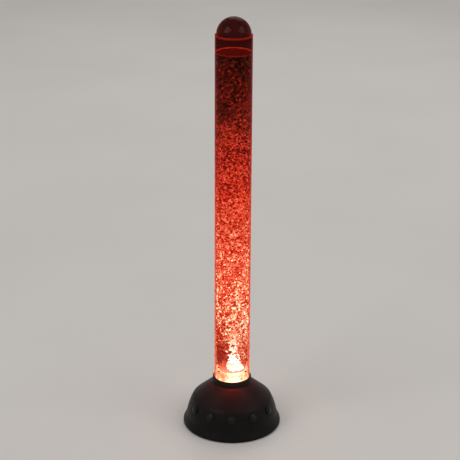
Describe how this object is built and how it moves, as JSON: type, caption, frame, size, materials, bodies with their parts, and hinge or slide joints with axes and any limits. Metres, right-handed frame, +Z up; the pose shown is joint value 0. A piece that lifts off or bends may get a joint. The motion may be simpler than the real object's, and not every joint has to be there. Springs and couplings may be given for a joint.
{
  "type": "led bubble tube",
  "caption": "Free-standing bubble lamp: a clear acrylic tube of aerated water, lit from below, on a round base with a collar, front push buttons and a clear lift-off domed lid.",
  "frame": {"origin": "on the floor, under the tube's axis", "axes": "+Z up along the tube, -Y to the front, where the buttons are"},
  "size_m": [0.278, 0.278, 1.182],
  "materials": {
    "black_abs": "satin",
    "black_sheet": "matte",
    "clear_acrylic": "clear",
    "lit_water": "clear",
    "opal_acrylic": "frosted",
    "socket_nylon": "matte",
    "plug_acrylic": "clear",
    "nozzle_acetal": "satin",
    "black_rubber": "matte",
    "clear_silicone": "satin",
    "zinc_steel": "satin",
    "sink_aluminium": "satin",
    "circuit_board": "satin",
    "led_lens": "clear",
    "part_black": "matte",
    "pump_abs": "satin",
    "core_iron": "matte",
    "coil_copper": "satin",
    "terminal_nylon": "matte",
    "terminal_brass": "satin",
    "lead_pvc": "satin"
  },
  "bodies": {
    "base": {"base_housing": "black_abs", "base_plate": "black_sheet", "base_plate_screws": "zinc_steel", "bubble_nozzle": "nozzle_acetal", "button_bezels": "black_abs", "button_leads": "lead_pvc", "button_nuts": "socket_nylon", "button_spring_1": "zinc_steel", "button_spring_2": "zinc_steel", "button_spring_3": "zinc_steel", "button_spring_4": "zinc_steel", "button_spring_5": "zinc_steel", "button_switches": "part_black", "check_valve": "nozzle_acetal", "collar": "black_abs", "collar_seal": "black_rubber", "control_board": "circuit_board", "control_board_screws": "zinc_steel", "control_parts": "part_black", "cord_grommet": "black_rubber", "diffuser_gasket": "black_rubber", "diffuser_plate": "opal_acrylic", "diffuser_screws": "zinc_steel", "heat_sink": "sink_aluminium", "lamp_board": "circuit_board", "lamp_board_screws": "zinc_steel", "lamp_lead": "lead_pvc", "led_lamps": "led_lens", "nozzle_gasket": "black_rubber", "nozzle_nut": "socket_nylon", "plug_seals": "black_rubber", "pump_case": "pump_abs", "pump_coil": "coil_copper", "pump_core": "core_iron", "pump_cover": "pump_abs", "pump_cover_screws": "zinc_steel", "pump_diaphragm": "black_rubber", "pump_feet": "black_rubber", "pump_hose": "clear_silicone", "pump_leads": "lead_pvc", "pump_pivot_pin": "zinc_steel", "pump_valve_block": "pump_abs", "riser_hose": "clear_silicone", "rubber_feet": "black_rubber", "socket_pillars": "zinc_steel", "socket_screws": "zinc_steel", "terminal_block": "terminal_nylon", "terminal_screws": "terminal_brass", "tube": "clear_acrylic", "tube_plug": "plug_acrylic", "tube_socket": "socket_nylon", "water_column": "lit_water"},
    "lid": {"dome_lid": "clear_acrylic"},
    "pump_arm": {"pump_arm": "pump_abs", "pump_magnet": "core_iron"},
    "button_1": {"button_1": "black_abs"},
    "button_2": {"button_2": "black_abs"},
    "button_3": {"button_3": "black_abs"},
    "button_4": {"button_4": "black_abs"},
    "button_5": {"button_5": "black_abs"}
  },
  "joints": [
    {"name": "lid_lift", "type": "slide", "parent": "base", "child": "lid", "axis": [0, 0, 1], "range_m": [0, 0.06]},
    {"name": "pump_arm_swing", "type": "hinge", "parent": "base", "child": "pump_arm", "pos_m": [-0.066, 0.06515, 0.032], "axis": [0, 0, 1], "range_deg": [-2, 2], "stiffness_Nm_per_rad": 0.5, "deforming": ["pump_diaphragm"]},
    {"name": "button_1_press", "type": "slide", "parent": "base", "child": "button_1", "axis": [0.8089, 0.467, -0.3571], "range_m": [0, 0.0025], "stiffness_N_per_m": 300, "springref_m": -0.001, "deforming": ["button_spring_1"]},
    {"name": "button_2_press", "type": "slide", "parent": "base", "child": "button_2", "axis": [0.467, 0.8089, -0.3571], "range_m": [0, 0.0025], "stiffness_N_per_m": 300, "springref_m": -0.001, "deforming": ["button_spring_2"]},
    {"name": "button_3_press", "type": "slide", "parent": "base", "child": "button_3", "axis": [0, 0.9341, -0.3571], "range_m": [0, 0.0025], "stiffness_N_per_m": 300, "springref_m": -0.001, "deforming": ["button_spring_3"]},
    {"name": "button_4_press", "type": "slide", "parent": "base", "child": "button_4", "axis": [-0.467, 0.8089, -0.3571], "range_m": [0, 0.0025], "stiffness_N_per_m": 300, "springref_m": -0.001, "deforming": ["button_spring_4"]},
    {"name": "button_5_press", "type": "slide", "parent": "base", "child": "button_5", "axis": [-0.8089, 0.467, -0.3571], "range_m": [0, 0.0025], "stiffness_N_per_m": 300, "springref_m": -0.001, "deforming": ["button_spring_5"]}
  ]
}
